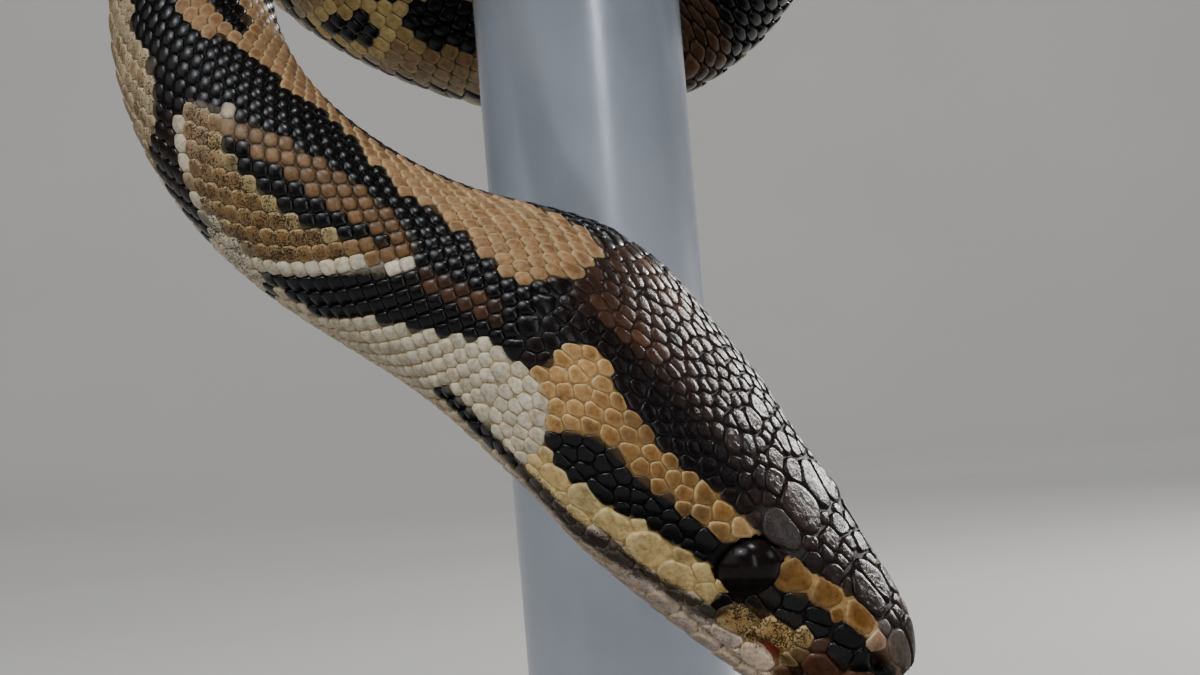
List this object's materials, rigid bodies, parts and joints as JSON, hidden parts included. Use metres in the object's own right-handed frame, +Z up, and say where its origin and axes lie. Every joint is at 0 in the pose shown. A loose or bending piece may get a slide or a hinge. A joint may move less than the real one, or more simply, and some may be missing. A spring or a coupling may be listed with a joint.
{
  "type": "ball python coiled round a tube",
  "caption": "Still life-size ball python coiled round an upright steel tube, head and neck hanging in front of it, on a plain round display stand.",
  "frame": {"origin": "centre of the stand's underside, on the tube's axis", "axes": "+Z up along the tube; the snake's head hangs on the -Y side and points to +X and down"},
  "size_m": [0.2, 0.2, 0.3573],
  "materials": {
    "skin": "small overlapping scales, satin, dark brown and black with tan and cream blotches",
    "eye": "wet gloss, near black",
    "tube": "satin blue-grey",
    "cap": "fine matt",
    "stand": "satin charcoal powder coat"
  },
  "bodies": {
    "root": {"head": "skin", "lower_jaw": "skin", "neck": "skin", "trunk_1": "skin", "trunk_2": "skin", "trunk_3": "skin", "trunk_4": "skin", "trunk_5": "skin", "trunk_6": "skin", "tail": "skin", "eye_left": "eye", "eye_right": "eye", "perch_pole": "tube", "perch_cap": "cap", "stand_socket": "stand", "stand_rod": "stand", "stand_base": "stand"}
  },
  "joints": []
}
